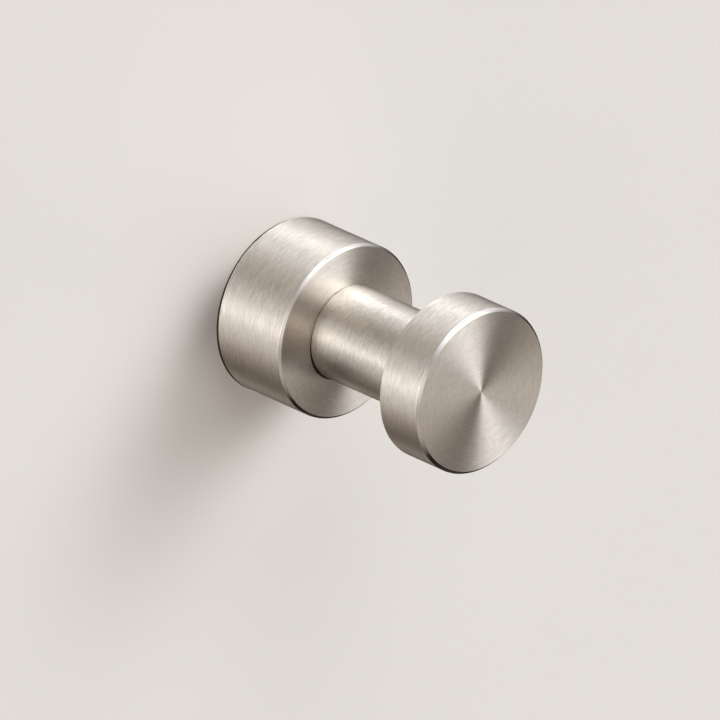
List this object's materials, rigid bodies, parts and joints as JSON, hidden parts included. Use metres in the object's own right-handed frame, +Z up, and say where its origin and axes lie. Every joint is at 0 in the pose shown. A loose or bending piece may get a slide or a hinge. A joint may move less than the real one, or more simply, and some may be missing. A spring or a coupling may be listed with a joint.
{
  "type": "robe hook",
  "caption": "Turned steel robe hook: a round flat-faced head on a thick cylindrical neck, standing on a round cup-shaped base that hides its wall bracket and is locked by a grub screw.",
  "frame": {"origin": "centre of the wall face, on the hook's axis, in the plane of the wall", "axes": "+Z up the wall, +Y into the wall, so the hook projects along -Y; +X to the right for a person who faces the hook"},
  "size_m": [0.035, 0.0547, 0.035],
  "materials": {
    "satin_steel": "warm grey stainless steel, brushed round the axis on the sides and spun in circles on the flat faces",
    "bracket_steel": "plain turned steel with fine concentric tool marks",
    "fastener_steel": "plain rolled stainless steel"
  },
  "bodies": {
    "root": {"base": "satin_steel", "post": "satin_steel", "post_screw": "fastener_steel", "lock_washer": "fastener_steel", "wall_bracket": "bracket_steel", "grub_screw": "fastener_steel"}
  },
  "joints": []
}
